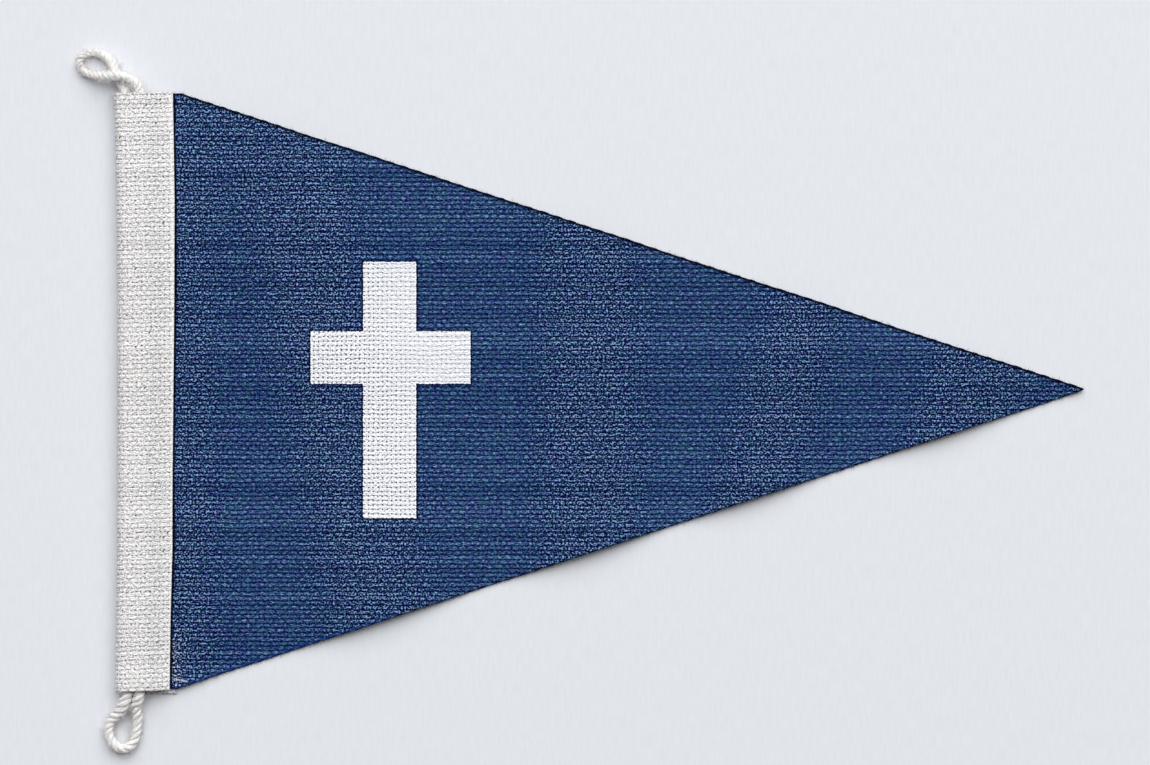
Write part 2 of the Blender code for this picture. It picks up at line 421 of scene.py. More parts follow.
def strand_tree(name, sizes):
    """Three strands twisted round a guide curve.

    Each is a tube whose centre circles the cord's own line once a lay.
    """
    tree, given, result = geometry_tree(name, sizes)
    line = put(
        tree,
        "GeometryNodeResampleCurve",
        {"Curve": given.outputs["Geometry"], "Length": given.outputs["Step"]},
        mode="LENGTH",
    )
    along = put(tree, "GeometryNodeSplineParameter")
    tangent = put(tree, "GeometryNodeInputTangent")
    normal = put(tree, "GeometryNodeInputNormal")
    side = put(
        tree,
        "ShaderNodeVectorMath",
        {0: tangent.outputs[0], 1: normal.outputs[0]},
        operation="CROSS_PRODUCT",
    )
    length = Signal(tree, along.outputs["Length"])
    extra_turns = length.make("MINIMUM", UPPER_LENGTH) * (1 / UPPER_LAY - 1 / LAY)
    turns = length / Signal(tree, given.outputs["Lay"]) + extra_turns
    centre = put(tree, "GeometryNodeInputPosition")
    where = put(tree, "ShaderNodeSeparateXYZ", {0: centre.outputs[0]})
    loose = (Signal(tree, where.outputs["Y"]) - LOOSE_SPOT).make("ABSOLUTE") / MM
    slim = 1.0 - (Signal(tree, where.outputs["X"]) / -MM).ramp(*SLIM_STRETCH) * SLIM_SHARE
    parted = 1.0 + LOOSE_SHARE - loose.ramp(*LOOSE_STRETCH) * LOOSE_SHARE
    circle = Signal(tree, given.outputs["Circle"]) * parted * slim
    profile = put(
        tree,
        "GeometryNodeCurvePrimitiveCircle",
        {"Resolution": 12, "Radius": given.outputs["Strand radius"]},
    )
    strands = put(tree, "GeometryNodeJoinGeometry")
    for strand in range(3):
        angle = (turns + strand / 3) * (2 * math.pi)
        across = put(
            tree,
            "ShaderNodeVectorMath",
            {0: normal.outputs[0], "Scale": angle.make("COSINE") * circle},
            operation="SCALE",
        )
        sideways = put(
            tree,
            "ShaderNodeVectorMath",
            {0: side.outputs[0], "Scale": angle.make("SINE") * circle},
            operation="SCALE",
        )
        offset = put(tree, "ShaderNodeVectorMath", {0: across.outputs[0], 1: sideways.outputs[0]})
        moved = put(tree, "ShaderNodeVectorMath", {0: centre.outputs[0], 1: offset.outputs[0]})
        spot = put(tree, "ShaderNodeSeparateXYZ", {0: moved.outputs[0]})
        lowered = Signal(tree, spot.outputs["Z"]) - (1.0 - slim) * (CORD_DIAMETER / 2)
        resting = lowered.make("MAXIMUM", slim * STRAND_RADIUS + STRAND_FLOOR)
        spot = put(
            tree,
            "ShaderNodeCombineXYZ",
            {"X": spot.outputs["X"], "Y": spot.outputs["Y"], "Z": resting},
        )
        path = put(
            tree,
            "GeometryNodeSetPosition",
            {"Geometry": line.outputs[0], "Position": spot.outputs[0]},
        )
        kept = []
        for curve, label, value in ((path, "Along", "Length"), (profile, "Round", "Factor")):
            node = put(
                tree,
                "GeometryNodeCaptureAttribute",
                {"Geometry": curve.outputs[0]},
                domain="POINT",
            )
            node.capture_items.new("FLOAT", label)
            tree.links.new(along.outputs[value], node.inputs[label])
            kept.append(node)
        length_kept, round_kept = kept
        tube = put(
            tree,
            "GeometryNodeCurveToMesh",
            {
                "Curve": length_kept.outputs[0],
                "Profile Curve": round_kept.outputs[0],
                "Scale": slim,
                "Fill Caps": True,
            },
        )
        place = put(
            tree,
            "ShaderNodeCombineXYZ",
            {"X": length_kept.outputs["Along"], "Y": round_kept.outputs["Round"], "Z": strand / 3},
        )
        named = put(
            tree,
            "GeometryNodeStoreNamedAttribute",
            {"Geometry": tube.outputs[0], "Name": "strand_place", "Value": place.outputs[0]},
            data_type="FLOAT_VECTOR",
            domain="POINT",
        )
        tree.links.new(named.outputs[0], strands.inputs[0])
    smooth = put(tree, "GeometryNodeSetShadeSmooth", {"Geometry": strands.outputs[0]})
    whole = put(tree, "GeometryNodeRealizeInstances", {"Geometry": smooth.outputs[0]})
    finished = put(
        tree,
        "GeometryNodeSetMaterial",
        {"Geometry": whole.outputs[0], "Material": given.outputs["Finish"]},
    )
    tree.links.new(finished.outputs[0], result.inputs[0])
    return tree


def fuzz_tree(name, sizes):
    """Short bent fibres that stand out of a mesh, as thin three-sided hairs.

    The sizes are the number of hairs a square metre, their length, bend and thickness.
    """
    tree, given, result = geometry_tree(name, sizes)
    hairy = put(tree, "GeometryNodeInputNamedAttribute", {"Name": "hairy"}, data_type="FLOAT")
    density = Signal(tree, hairy.outputs[0]) * Signal(tree, given.outputs["Hairs"])
    roots = put(
        tree,
        "GeometryNodeDistributePointsOnFaces",
        {"Mesh": given.outputs["Geometry"], "Density": density, "Seed": 4},
    )
    lengths = put(
        tree,
        "FunctionNodeRandomValue",
        {2: 0.35, 3: 1.0, "Seed": 2},
        data_type="FLOAT",
    )
    hair = put(
        tree,
        "GeometryNodeCurvePrimitiveLine",
        {"End": put(tree, "ShaderNodeCombineXYZ", {"Z": given.outputs["Length"]}).outputs[0]},
    )
    jointed = put(tree, "GeometryNodeResampleCurve", {"Curve": hair.outputs[0], "Count": 5})
    turned = put(
        tree,
        "FunctionNodeRandomValue",
        {0: (-0.9, -0.9, 0.0), 1: (0.9, 0.9, 6.28), "Seed": 3},
        data_type="FLOAT_VECTOR",
    )
    leaned = put(
        tree,
        "FunctionNodeRotateEuler",
        {0: roots.outputs["Rotation"], 1: turned.outputs[0]},
        rotation_type="EULER",
        space="LOCAL",
    )
    tufts = put(
        tree,
        "GeometryNodeInstanceOnPoints",
        {
            "Points": roots.outputs["Points"],
            "Instance": jointed.outputs[0],
            "Rotation": leaned.outputs[0],
            "Scale": lengths.outputs[1],
        },
    )
    loose = put(tree, "GeometryNodeRealizeInstances", {"Geometry": tufts.outputs[0]})
    where = put(tree, "GeometryNodeInputPosition")
    curl = put(
        tree,
        "ShaderNodeTexNoise",
        {"Vector": where.outputs[0], "Scale": 1.0 / (0.9 * MM), "Detail": 1.0},
    )
    pull = put(
        tree,
        "ShaderNodeVectorMath",
        {0: curl.outputs["Color"], 1: (0.5, 0.5, 0.5)},
        operation="SUBTRACT",
    )
    reach = put(tree, "GeometryNodeSplineParameter")
    strength = Signal(tree, reach.outputs["Factor"]) * Signal(tree, given.outputs["Bend"])
    push = put(
        tree,
        "ShaderNodeVectorMath",
        {0: pull.outputs[0], "Scale": strength},
        operation="SCALE",
    )
    bent = put(
        tree,
        "GeometryNodeSetPosition",
        {"Geometry": loose.outputs[0], "Offset": push.outputs[0]},
    )
    lie = put(tree, "ShaderNodeSeparateXYZ", {0: where.outputs[0]})
    above = Signal(tree, lie.outputs["Z"]).make("MAXIMUM", HAIR_FLOOR)
    resting = put(
        tree,
        "ShaderNodeCombineXYZ",
        {"X": lie.outputs["X"], "Y": lie.outputs["Y"], "Z": above},
    )
    laid = put(
        tree,
        "GeometryNodeSetPosition",
        {"Geometry": bent.outputs[0], "Position": resting.outputs[0]},
    )
    profile = put(
        tree,
        "GeometryNodeCurvePrimitiveCircle",
        {"Resolution": 3, "Radius": given.outputs["Thickness"]},
    )
    hairs = put(
        tree,
        "GeometryNodeCurveToMesh",
        {"Curve": laid.outputs[0], "Profile Curve": profile.outputs[0]},
    )
    finished = put(
        tree,
        "GeometryNodeSetMaterial",
        {"Geometry": hairs.outputs[0], "Material": given.outputs["Finish"]},
    )
    tree.links.new(finished.outputs[0], result.inputs[0])
    return tree


def grow_hairs(piece, name, sizes, hairy):
    """Loose fibres as a piece of their own.

    hairy gives the share of them on a face from its centre and normal.
    """
    bpy.context.view_layer.update()
    whole = piece.evaluated_get(bpy.context.evaluated_depsgraph_get())
    mesh = bpy.data.meshes.new_from_object(whole)
    share = mesh.attributes.new("hairy", "FLOAT", "FACE")
    share.data.foreach_set("value", [hairy(face.center, face.normal) for face in mesh.polygons])
    guide = add_object(name, mesh)
    return grow(guide, fuzz_tree(name, sizes), sizes, name)


cord_line = smooth_route(CORD_ROUTE, ROUTE_SAMPLES)
cord_length = sum((b - a).length for a, b in zip(cord_line, cord_line[1:]))
strand_sizes = {
    "Lay": LAY,
    "Strand radius": STRAND_RADIUS,
    "Circle": CORD_DIAMETER / 2 - STRAND_RADIUS,
    "Step": CORD_STEP,
    "Finish": cord_material,
}
cord = grow(
    curve_object("cord_line", cord_line),
    strand_tree("three_strands", strand_sizes),
    strand_sizes,
    "cord_strands",
)
centres = KDTree(len(cord_line))
for number, point in enumerate(cord_line):
    centres.insert(point, number)
centres.balance()
# How deep each point lies between the strands, kept for the painted shade in the cord's colour.
depths = []
for vert in cord.data.vertices:
    distance = centres.find(vert.co)[2]
    depths.append((CREVICE_SHADE[1] - distance) / (CREVICE_SHADE[1] - CREVICE_SHADE[0]))
crevice_shade = cord.data.attributes.new("crevice_shade", "FLOAT", "POINT")
crevice_shade.data.foreach_set("value", [min(max(depth, 0.0), 1.0) for depth in depths])
fibre_material = new_material("loose_cotton", (0.90, 0.85, 0.83), 0.9)[0]
cord_fuzz = grow_hairs(
    cord,
    "cord_fuzz",
    {
        "Hairs": 0.65e7,
        "Length": 1.2 * MM,
        "Bend": 1.6 * MM,
        "Thickness": 0.015 * MM,
        "Finish": fibre_material,
    },
    lambda centre, normal: 1.0 if abs(centre.y) > SLEEVE_MOUTH else 0.0,
)
for piece in (cord, cord_fuzz):
    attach(piece, "root")
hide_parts("hoist_cord")


# Fly
# Plain-weave cotton of about 13 slubby threads to the centimetre, printed blue except for a
# cross, and cut straight to a triangle with raw edges. It lies in shallow waves.
PITCH = 0.770 * MM            # from one thread to the next, both ways
CLOTH = 0.32 * MM
REST = 0.05 * MM              # keeps the lowest threads on the surface
RELIEF_ROOM = 0.19 * MM       # for threads that stand out of a cloth's underside
WAVE_STRETCH = 1.45           # thin cloth follows the middle of the solid's thick one
ROW_RELIEF = 0.10 * MM        # how far a row of threads stands over the gap beside it
DASH_RELIEF = 0.06 * MM       # how far a thread rises where it passes over the next
WAVER = 0.12 * MM             # how far threads wander from straight
FLY_LOW, FLY_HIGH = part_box("fly")
TIP = (FLY_HIGH.x, 0.7 * MM)
TIP_HALF_WIDTH = 0.15 * MM
UPPER_CORNER_X = -70.5 * MM
LOWER_CORNER_X = -71.3 * MM
WAVES = (
    # crest, lean with height on the hoist, half width and rise, in millimetres
    (-44.2, -0.19, 19.0, 1.00),
    (-1.5, 0.00, 16.5, 1.05),
    (30.7, 0.27, 14.0, 0.90),
    (61.5, 0.40, 14.0, 0.80),
    (84.5, 0.00, 8.0, 0.35),
)
HEADING_ROWS = (
    # height on the hoist, fold, free edge of the front layer and of the back one, in millimetres
    (-50.34, -81.75, -72.60, -71.50),
    (-38.40, -81.58, -72.44, -71.60),
    (-26.50, -81.41, -72.12, -71.60),
    (-14.60, -81.33, -72.10, -71.60),
    (0.00, -81.33, -71.95, -71.60),
    (15.80, -81.33, -71.80, -71.60),
    (32.80, -81.50, -71.76, -71.60),
    (44.60, -81.75, -71.93, -71.70),
    (50.86, -82.00, -72.05, -71.85),
)
FLY_LEVEL = 0.60 * MM         # its underside between the layers of the heading
RAMP = (-71.0 * MM, -61.5 * MM)   # from the heading's level down to the free cloth's
CRISP_HOIST = (0.9, 18.0)     # the weave is crisper at the heading: how much, over how many mm
CRISP_TIP = (0.7, 120.0, 20.0)   # and near the tip: how much, from how far on, over how many mm
CRISP_LIFT = (0.0, 1.5)       # it goes from soft to crisp between these heights, in millimetres


def ease(share):
    """Goes from 0 to 1 with a level start and end."""
    share = min(max(share, 0.0), 1.0)
    return share * share * (3 - 2 * share)


def weave_relief(u, v):
    """Height of a plain weave at a place on the cloth, over the gaps between its rows."""
    row = round(v / PITCH)
    ridge = 0.5 + 0.5 * math.cos(2 * math.pi * v / PITCH)
    crown = 0.5 + 0.5 * math.cos(math.pi * (u / PITCH + row))
    slub = 0.75 + 0.5 * noise.noise(Vector((u / (6 * MM), row * 3.7, 0)))
    return ridge * (ROW_RELIEF * slub + DASH_RELIEF * crown)


def waver(u, v):
    """How far a thread lies from its straight place on the cloth."""
    spot = Vector((u / (11 * MM), v / (7 * MM), 3.0))
    return WAVER * noise.noise(spot), WAVER * noise.noise(spot + Vector((40, 0, 0)))


def woven_piece(name, grid, faces, lay, measures):
    """A woven skin laid out by lay(u, v), with each point's place on the cloth kept.

    lay gives a point and the way out of the cloth there, and the weave stands out that way.
    measures are further numbers kept at each point, each one a function of u and v.
    """
    points = []
    for u, v in grid:
        point, out = lay(u, v)
        points.append(point + out * weave_relief(u, v))
    mesh = bpy.data.meshes.new(name)
    mesh.from_pydata(points, [], faces)
    mesh.shade_smooth()
    place = mesh.attributes.new("cloth_place", "FLOAT_VECTOR", "POINT")
    place.data.foreach_set("vector", [c / PITCH for u, v in grid for c in (u, v, 0.0)])
    for label, measure in measures.items():
        kept = mesh.attributes.new(label, "FLOAT", "POINT")
        kept.data.foreach_set("value", [measure(u, v) for u, v in grid])
    return add_object(name, mesh)


def thicken(piece, thickness):
    """Gives a skin its thickness, all of it behind the skin."""
    wall = piece.modifiers.new("thickness", "SOLIDIFY")
    wall.thickness = thickness
    wall.offset = -1


def fly_lift(x, y):
    """Height of the fly's underside over the surface."""
    wave_lift = 0.0
    for crest, lean, half_width, rise in WAVES:
        offset = (x - crest * MM - lean * y) / (half_width * MM)
        if abs(offset) < 1:
            wave_lift += WAVE_STRETCH * rise * MM * math.cos(offset * math.pi / 2) ** 2
    free = ease((x - RAMP[0]) / (RAMP[1] - RAMP[0]))
    return REST + FLY_LEVEL * (1 - free) + wave_lift * free


def fly_lay(u, v):
    wander = waver(u, v)
    x = u + wander[0]
    y = v + wander[1]
    return Vector((x, y, CLOTH + fly_lift(x, y))), Vector((0, 0, 1))


HOIST_CORNERS = (Vector((UPPER_CORNER_X, FLY_HIGH.y, 0)), Vector((LOWER_CORNER_X, FLY_LOW.y, 0)))
TIP_CORNERS = (
    Vector((TIP[0], TIP[1] + TIP_HALF_WIDTH, 0)),
    Vector((TIP[0], TIP[1] - TIP_HALF_WIDTH, 0)),
)


def outward(start, end, side):
    """Level direction out of the cloth across a cut edge, side 1 for up and -1 for down."""
    along = (end - start).normalized()
    return Vector((-along.y * side, along.x * side, 0))


CUT_EDGES = (
    (HOIST_CORNERS[0], outward(HOIST_CORNERS[0], TIP_CORNERS[0], 1)),
    (HOIST_CORNERS[1], outward(HOIST_CORNERS[1], TIP_CORNERS[1], -1)),
)


def cut_triangle():
    """Flat grid along the threads, cut to the fly's outline. Its points are (u, v)."""
    work = bmesh.new()
    columns = math.ceil((FLY_HIGH.x - FLY_LOW.x) / PITCH) + 2
    rows = math.ceil((FLY_HIGH.y - FLY_LOW.y) / PITCH) * 2 + 4
    first_column = math.floor(FLY_LOW.x / PITCH)
    first_row = math.floor(FLY_LOW.y / PITCH) * 2 - 1
    knots = [
        [
            work.verts.new(((first_column + c) * PITCH, (first_row + r) * PITCH / 2, 0))
            for r in range(rows)
        ]
        for c in range(columns)
    ]
    for c in range(columns - 1):
        for r in range(rows - 1):
            work.faces.new((knots[c][r], knots[c + 1][r], knots[c + 1][r + 1], knots[c][r + 1]))
    square_cuts = (
        (HOIST_CORNERS[0], Vector((0, 1, 0))),
        (HOIST_CORNERS[1], Vector((0, -1, 0))),
        (TIP_CORNERS[0], Vector((1, 0, 0))),
        (Vector((FLY_LOW.x, 0, 0)), Vector((-1, 0, 0))),
    )
    for spot, way_out in CUT_EDGES + square_cuts:
        bmesh.ops.bisect_plane(
            work,
            geom=work.verts[:] + work.edges[:] + work.faces[:],
            dist=1e-6,
            plane_co=spot,
            plane_no=way_out,
            clear_outer=True,
        )
    work.verts.index_update()
    grid = [(vert.co.x, vert.co.y) for vert in work.verts]
    faces = [[vert.index for vert in face.verts] for face in work.faces]
    work.free()
    return grid, faces


def heading_edges(v):
    """The fold and the two free edges of the heading at one height on the hoist."""
    heights = [row[0] for row in HEADING_ROWS]
    return [np.interp(v / MM, heights, [row[k] for row in HEADING_ROWS]) * MM for k in (1, 2, 3)]


def upper_edge_distance(u, v):
    """Millimetres in from the cut upper edge."""
    return (HOIST_CORNERS[0] - Vector((u, v, 0))).dot(CUT_EDGES[0][1]) / MM


def lower_edge_distance(u, v):
    """Millimetres in from the cut lower edge."""
    return (HOIST_CORNERS[1] - Vector((u, v, 0))).dot(CUT_EDGES[1][1]) / MM


def heading_distance(u, v):
    """Millimetres out from the free edge of the heading's front layer."""
    return (u - heading_edges(v)[1]) / MM


def crisp_lift(u, v):
    """Height of the cloth in millimetres, with more at the heading and near the tip."""
    away = heading_distance(u, v)
    at_hoist = CRISP_HOIST[0] * ease(1 - away / CRISP_HOIST[1])
    at_tip = CRISP_TIP[0] * ease((away - CRISP_TIP[1]) / CRISP_TIP[2])
    return fly_lift(u, v) / MM + at_hoist + at_tip


grid, faces = cut_triangle()
fly = woven_piece(
    "printed_fly",
    grid,
    faces,
    fly_lay,
    {
        "lift": crisp_lift,
        "from_upper_edge": upper_edge_distance,
        "from_lower_edge": lower_edge_distance,
        "from_heading": heading_distance,
    },
)
thicken(fly, CLOTH)

WEAVE_OUTPUTS = ("Height", "Gap", "Tone", "Fibre", "Streak", "Fleck", "Ridge", "Speck")


def weave_group():
    """Plain weave: the height of its threads, their gaps, their own tones and fine fibres."""
    tree = bpy.data.node_groups.new("plain_weave", "ShaderNodeTree")
    tree.interface.new_socket("Place", in_out="INPUT", socket_type="NodeSocketVector")
    tree.interface.new_socket("Waver", in_out="INPUT", socket_type="NodeSocketFloat")
    for label in WEAVE_OUTPUTS:
        tree.interface.new_socket(label, in_out="OUTPUT", socket_type="NodeSocketFloat")
    given = tree.nodes.new("NodeGroupInput")
    result = tree.nodes.new("NodeGroupOutput")

    bend = put(
        tree,
        "ShaderNodeTexNoise",
        {"Vector": given.outputs["Place"], "Scale": 0.45, "Detail": 1.0},
    )
    bent = put(tree, "ShaderNodeSeparateXYZ", {0: bend.outputs["Color"]})
    spot = put(tree, "ShaderNodeSeparateXYZ", {0: given.outputs["Place"]})
    amount = Signal(tree, given.outputs["Waver"])
    u = Signal(tree, spot.outputs["X"]) + (Signal(tree, bent.outputs["X"]) - 0.5) * amount
    v = Signal(tree, spot.outputs["Y"]) + (Signal(tree, bent.outputs["Y"]) - 0.5) * amount
    column = u.make("ROUND")
    row = v.make("ROUND")
    beside_warp = u - column
    beside_weft = v - row

    def thread(beside, half_width):
        share = beside / half_width
        return (1.0 - share * share).make("MAXIMUM", 0.0).make("SQRT")

    over = ((u + row) * math.pi).make("COSINE") * 0.5 + 0.5
    under = 0.5 - ((v + column) * math.pi).make("COSINE") * 0.5
    ridge = thread(beside_weft, 0.50)
    weft = ridge * (over.make("POWER", 0.6) * 0.40 + 0.60)
    warp = thread(beside_warp, 0.42) * (under * under * 0.5 + 0.15)
    height = weft.make("MAXIMUM", warp)
    weft_shows = weft.make("GREATER_THAN", warp)

    def own_tone(number, seed):
        vector = put(tree, "ShaderNodeCombineXYZ", {"X": number, "Y": seed})
        tone = put(
            tree,
            "ShaderNodeTexWhiteNoise",
            {"Vector": vector.outputs[0]},
            noise_dimensions="3D",
        )
        return Signal(tree, tone.outputs["Value"])

    def fibres(x_scale, y_scale, seed):
        vector = put(tree, "ShaderNodeCombineXYZ", {"X": u * x_scale, "Y": v * y_scale, "Z": seed})
        grain = put(
            tree,
            "ShaderNodeTexNoise",
            {"Vector": vector.outputs[0], "Scale": 1.0, "Detail": 0.6, "Roughness": 0.5},
        )
        return Signal(tree, grain.outputs["Fac"])

    weft_tone = own_tone(row, 1.5) * 0.6 + fibres(0.22, 1.0, 4.0) * 0.4
    warp_tone = own_tone(column, 7.5) * 0.6 + fibres(1.0, 0.22, 9.0) * 0.4
    tone = warp_tone + (weft_tone - warp_tone) * weft_shows
    fibre = ((fibres(2.5, 3.1, 2.0) - 0.5) * 6.0).make("MAXIMUM", -0.8).make("MINIMUM", 0.8)
    streak = (fibres(1.6, 4.6, 6.0) - 0.5) * 2.5
    fleck = fibres(1.7, 2.3, 12.0).ramp(0.66, 0.78)
    off_spot = (beside_weft - 0.28).make("ABSOLUTE") + (beside_warp - 0.22).make("ABSOLUTE")
    spot_here = 1.0 - off_spot.ramp(0.16, 0.32)
    gap = (beside_weft.make("ABSOLUTE") + beside_warp.make("ABSOLUTE")).ramp(0.68, 0.92)
    speck = own_tone(column + row * 0.37, 3.1).make("GREATER_THAN", 0.985) * spot_here
    made = (height, gap, tone, fibre, streak, fleck, ridge, speck)
    for label, value in zip(WEAVE_OUTPUTS, made):
        tree.links.new(value.socket, result.inputs[label])
    return tree


plain_weave = weave_group()

# The cross as it is printed on the cloth
CROSS_UPRIGHT = (-39.84 * MM, -30.92 * MM, -21.06 * MM, 22.27 * MM)   # left, right, low, high
CROSS_BAR = (-48.73 * MM, -21.73 * MM, 1.66 * MM, 10.53 * MM)
PRINT_CREEP = 0.06 * MM       # how unevenly the print's edge follows the threads

# Stretches of the print in millimetres, the first three of them as depths into the cross
PRINT_EDGE = (-0.05, 0.05)    # where blue gives way to white
PRINT_LINE = (-0.42, -0.12)   # where the blue darkens towards the cross
PRINT_RIM = (0.12, 0.38)      # where the white, brightest at its edge, grows plainer
DARK_EDGE = (0.25, 0.55)      # the dark line along the upper cut edge, and painted shade on the fly beside the heading
DARK_LOWER_EDGE = (0.02, 0.20)   # the thinner one below
DARK_BAND = (0.28, 0.60)      # deeper blue along the lower edge
DARK_BAND_END = -34.0         # as far as this place along the fly
WORN_EDGE = (0.4, 3.2)        # the print is worn by the heading
WORN_HEIGHTS = (-44.0, -37.0)   # below these heights on the hoist
PULLED_START = (-70.6, -48.55)   # one pulled thread shows white from here to the right
PULLED_FALL = 0.27
PULLED_WIDTH = (0.05, 0.17)


def depth_in_rectangle(x, y, sides):
    """Distance to the nearest side of a rectangle, above 0 inside it."""
    left, right, low, high = sides
    inside_x = (x - left).make("MINIMUM", right - x)
    inside_y = (y - low).make("MINIMUM", high - y)
    return inside_x.make("MINIMUM", inside_y)


def weave_signals(tree, waver, *labels):
    """Outputs of the plain weave at the cloth's own place, with threads that waver so much."""
    place = put(tree, "ShaderNodeAttribute", attribute_name="cloth_place")
    weave = put(tree, "ShaderNodeGroup", node_tree=plain_weave)
    tree.links.new(place.outputs["Vector"], weave.inputs["Place"])
    weave.inputs["Waver"].default_value = waver
    return [Signal(tree, weave.outputs[label]) for label in labels]


fly_material, fly_tree, fly_shader = new_material("printed_cotton", (0.03, 0.06, 0.15), 0.9)
height, ridge, gap, tone, fibre, streak, fleck = weave_signals(
    fly_tree, 0.5, "Height", "Ridge", "Gap", "Tone", "Fibre", "Streak", "Fleck"
)
crisp = kept_measure(fly_tree, "lift").ramp(*CRISP_LIFT)
object_place = put(fly_tree, "ShaderNodeTexCoord").outputs["Object"]
spot = put(fly_tree, "ShaderNodeSeparateXYZ", {0: object_place})
x = Signal(fly_tree, spot.outputs["X"])
y = Signal(fly_tree, spot.outputs["Y"])
cross_depth = depth_in_rectangle(x, y, CROSS_UPRIGHT).make(
    "MAXIMUM", depth_in_rectangle(x, y, CROSS_BAR)
)
cross_depth = (cross_depth + fibre * PRINT_CREEP) / MM
cross = cross_depth.ramp(*PRINT_EDGE)
print_line = cross_depth.ramp(*PRINT_LINE) * (1.0 - cross)
print_rim = (1.0 - cross_depth.ramp(*PRINT_RIM)) * cross

# The crests lay against the glass, so the weave is crisp on them and softer between.
grain = fibre * 0.14 + streak * 0.45 + (fibre * 0.47 - streak * 0.3) * crisp
# Painted light and shade: raised threads are coloured lighter and the gaps between rows and
# threads darker.
weave_shade = (height - 0.62) * 0.40 + (ridge - 0.75) * 0.20 - gap * 0.40
shade = grain + weave_shade * (crisp * 0.3 + 1.0) + (tone - 0.5) * 0.2
near_heading = 1.0 - kept_measure(fly_tree, "from_heading").ramp(*WORN_EDGE)
near_corner = 1.0 - (y / MM).ramp(*WORN_HEIGHTS)
wear = near_heading * near_corner * ((fibre - 0.35).make("MAXIMUM", 0.0) * 0.9)
beside_pulled = y / MM - PULLED_START[1] + (x / MM - PULLED_START[0]) * PULLED_FALL
pulled = 1.0 - beside_pulled.make("ABSOLUTE").ramp(*PULLED_WIDTH)
pulled = pulled * near_heading.make("GREATER_THAN", 0.01)
blue = colour_ramp(
    fly_tree,
    (shade + fleck * crisp * 0.3 + 0.475 - crisp * 0.102 - print_line * 0.4).clamped(),
    (
        (0.0, (0.000, 0.001, 0.018)),
        (0.25, (0.001, 0.010, 0.052)),
        (0.5, (0.014, 0.043, 0.130)),
        (0.75, (0.073, 0.141, 0.303)),
        (1.0, (0.262, 0.396, 0.670)),
    ),
)
drift = put(
    fly_tree,
    "ShaderNodeTexNoise",
    {"Vector": object_place, "Scale": 1000.0, "Detail": 1.0},
)
drifted = put(
    fly_tree,
    "ShaderNodeHueSaturation",
    {"Hue": (Signal(fly_tree, drift.outputs["Fac"]) - 0.5) * 0.09 + 0.500, "Color": blue},
)
# In the cross the gaps between threads are darkened further as painted shade, most on the crests.
white = colour_ramp(
    fly_tree,
    (shade * 0.62 + 0.69 - gap * (crisp * 0.75 + 0.10) + print_rim * 0.2).clamped(),
    (
        (0.0, (0.08, 0.09, 0.12)),
        (0.6, (0.66, 0.68, 0.74)),
        (0.9, (0.97, 0.98, 1.00)),
    ),
)
bare = cross.make("MAXIMUM", wear).make("MAXIMUM", pulled * 0.6).clamped()
printed = mixed(fly_tree, bare, drifted.outputs["Color"], white)
from_lower = kept_measure(fly_tree, "from_lower_edge")
# Darker lines along the cut edges; beside the heading's edge the darkening is painted shade.
upper_rim = 1.0 - kept_measure(fly_tree, "from_upper_edge").ramp(*DARK_EDGE)
heading_edge_shade = 1.0 - kept_measure(fly_tree, "from_heading").ramp(*DARK_EDGE)
lower_rim = 1.0 - from_lower.ramp(*DARK_LOWER_EDGE)
lower_band = (1.0 - from_lower.ramp(*DARK_BAND)) * (x / MM).make("LESS_THAN", DARK_BAND_END)
lower_band_blue = mixed(fly_tree, lower_band * 0.55, printed, (0.006, 0.040, 0.240))
rim = upper_rim.make("MAXIMUM", heading_edge_shade).make("MAXIMUM", lower_rim * 0.8)
rimmed = mixed(fly_tree, rim * 0.95, lower_band_blue, (0.001, 0.002, 0.010))
fly_tree.links.new(rimmed, fly_shader.inputs["Base Color"])
add_bump(fly_tree, fly_shader, 0.7, 0.12 * MM, height * 0.9 + fibre * 0.5)
fly.data.materials.append(fly_material)


def fly_hairy(centre, normal):
    """Loose fibres on the cut edges alone, outside the heading."""
    on_edge = abs(normal.z) < 0.3
    return 1.0 if on_edge and centre.x > FLY_LOW.x + MM else 0.0


loose_blue = new_material("loose_blue", (0.05, 0.09, 0.20), 0.9)[0]
fly_fuzz = grow_hairs(
    fly,
    "fly_fuzz",
    {
        "Hairs": 6.0e6,
        "Length": 0.6 * MM,
        "Bend": 0.9 * MM,
        "Thickness": 0.018 * MM,
        "Finish": loose_blue,
    },
    fly_hairy,
)

for piece in (fly, fly_fuzz):
    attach(piece, "root")
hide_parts("fly")


# Heading
# A strip of the same white cotton, folded over the cord and the fly's hoist edge and pressed
# flat. No stitching shows. The back layer slipped a little, so its low end looks out.
SLEEVE_HEIGHT = 3.40 * MM     # over the cord
SEAM_HEIGHT = 1.55 * MM       # over the fly's edge
SLEEVE_END = 4.2 * MM         # from the fold to where the front layer leaves the cord
SEAM_START = 9.2 * MM         # from the fold to where it lies on the fly's edge
BACK_LEVEL = REST + RELIEF_ROOM
FOLD_RADIUS = (SLEEVE_HEIGHT - BACK_LEVEL) / 2
QUARTER = FOLD_RADIUS * math.pi / 2   # cloth from the fold's middle to the start of a layer
BACK_WIDTH = 7.9 * MM         # whole grid columns of each layer, short of its free edge
FRONT_WIDTH = 7.4 * MM
END_SLANT = 0.03              # how far the cut ends slope from left to right
BACK_DROP = 0.65 * MM         # how far the back layer slipped down
BACK_DROP_RUN = 2.2 * MM
NOISE_SHIFT = 0.3             # its threads waver in their own way, and less than the fly's
WAVER_SHARE = 0.6
FRAY = (-72.9 * MM, 1.1 * MM)   # the low end is frayed past this x, above this height
FEW_HAIRS = 0.12              # share of the loose fibres elsewhere on its cut ends


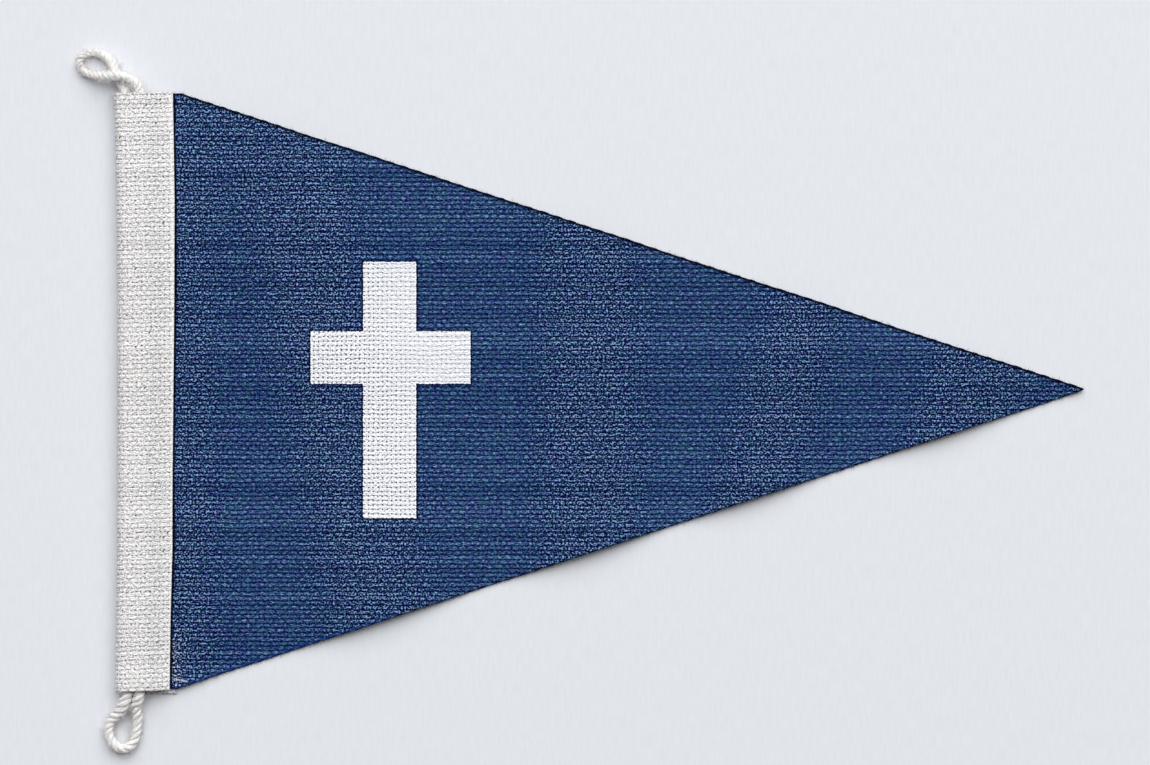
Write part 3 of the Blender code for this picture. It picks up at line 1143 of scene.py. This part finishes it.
def heading_lay(u, v):
    """u is 0 at the fold, below 0 on the back layer and above 0 on the front one."""
    fold, front_edge = heading_edges(v)[:2]
    axis = fold + FOLD_RADIUS
    if abs(u) < QUARTER:
        turn = u / FOLD_RADIUS
        x = axis - FOLD_RADIUS * math.cos(turn)
        z = BACK_LEVEL + FOLD_RADIUS + FOLD_RADIUS * math.sin(turn)
        out = Vector((-math.cos(turn), 0, math.sin(turn)))
        drop = 0.0
    elif u > 0:
        x = axis + u - QUARTER
        down = ease((x - fold - SLEEVE_END) / (SEAM_START - SLEEVE_END))
        z = SLEEVE_HEIGHT + (SEAM_HEIGHT - SLEEVE_HEIGHT) * down
        out = Vector((0, 0, 1))
        drop = 0.0
    else:
        x = axis - u - QUARTER
        z = BACK_LEVEL
        out = Vector((0, 0, -1))
        drop = BACK_DROP * ease((x - axis) / BACK_DROP_RUN)
    middle = (fold + front_edge) / 2
    wander = waver(u, v + NOISE_SHIFT)
    y = v + END_SLANT * (x - middle) - drop + wander[1] * WAVER_SHARE
    return Vector((x, y, z)), out


def heading_strip():
    """Grid along the threads of the strip, its two long edges cut where the rows say."""
    low = HEADING_ROWS[0][0] * MM
    high = HEADING_ROWS[-1][0] * MM
    half = PITCH / 2
    inner_rows = range(math.ceil(low / half), math.floor(high / half) + 1)
    rows = [low] + [k * half for k in inner_rows] + [high]
    first = math.ceil(-(QUARTER + BACK_WIDTH) / half)
    last = math.floor((QUARTER + FRONT_WIDTH) / half)
    grid = []
    for v in rows:
        fold, front_edge, back_edge = heading_edges(v)
        axis = fold + FOLD_RADIUS
        line = [-QUARTER - (back_edge - axis)]
        line += [k * half for k in range(first, last + 1)]
        line += [QUARTER + front_edge - axis]
        grid += [(u, v) for u in line]
    width = len(line)
    faces = [
        (r * width + c, r * width + c + 1, (r + 1) * width + c + 1, (r + 1) * width + c)
        for r in range(len(rows) - 1)
        for c in range(width - 1)
    ]
    return grid, faces


heading_material, heading_tree, heading_shader = new_material("white_cotton", (0.7, 0.7, 0.7), 0.9)
height, gap, tone, fibre, streak, speck = weave_signals(
    heading_tree, 0.4, "Height", "Gap", "Tone", "Fibre", "Streak", "Speck"
)
# Painted light and shade: raised threads are coloured lighter and the gaps between them darker.
shade = streak * 0.36 + fibre * 0.30 + (tone - 0.5) * 0.2 + (height - 0.62) * 0.45 - gap * 0.30
# Painted highlight: the colour is lighter along the front layer's free edge.
rim = kept_measure(heading_tree, "rim").ramp(0.2, 0.8)
white = colour_ramp(
    heading_tree,
    (shade + 0.64 + rim * 0.5 - speck * 0.9).clamped(),
    (
        (0.0, (0.10, 0.09, 0.09)),
        (0.6, (0.64, 0.63, 0.63)),
        (0.95, (0.98, 0.97, 0.97)),
    ),
)
heading_tree.links.new(white, heading_shader.inputs["Base Color"])
add_bump(heading_tree, heading_shader, 0.7, 0.12 * MM, height * 0.9 + fibre * 0.4)


def front_edge_highlight(u, v):
    """1 on the free edge of the front layer, where the colour gets a painted highlight, 0
    elsewhere.
    """
    fold, front_edge = heading_edges(v)[:2]
    edge = QUARTER + front_edge - fold - FOLD_RADIUS
    return 1.0 if u > edge - 1e-6 else 0.0


grid, faces = heading_strip()
heading = woven_piece("folded_heading", grid, faces, heading_lay, {"rim": front_edge_highlight})
thicken(heading, CLOTH)
heading.data.materials.append(heading_material)


def heading_hairy(centre, normal):
    """Few loose fibres on the cut ends, more by the frayed lower corner."""
    if abs(normal.y) < 0.7 or centre.z < FRAY[1]:
        return 0.0
    return 1.0 if centre.y < 0 and centre.x > FRAY[0] else FEW_HAIRS


heading_fuzz = grow_hairs(
    heading,
    "heading_fuzz",
    {
        "Hairs": 6.0e7,
        "Length": 0.7 * MM,
        "Bend": 1.2 * MM,
        "Thickness": 0.020 * MM,
        "Finish": fibre_material,
    },
    heading_hairy,
)
for piece in (heading, heading_fuzz):
    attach(piece, "root")
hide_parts("heading")
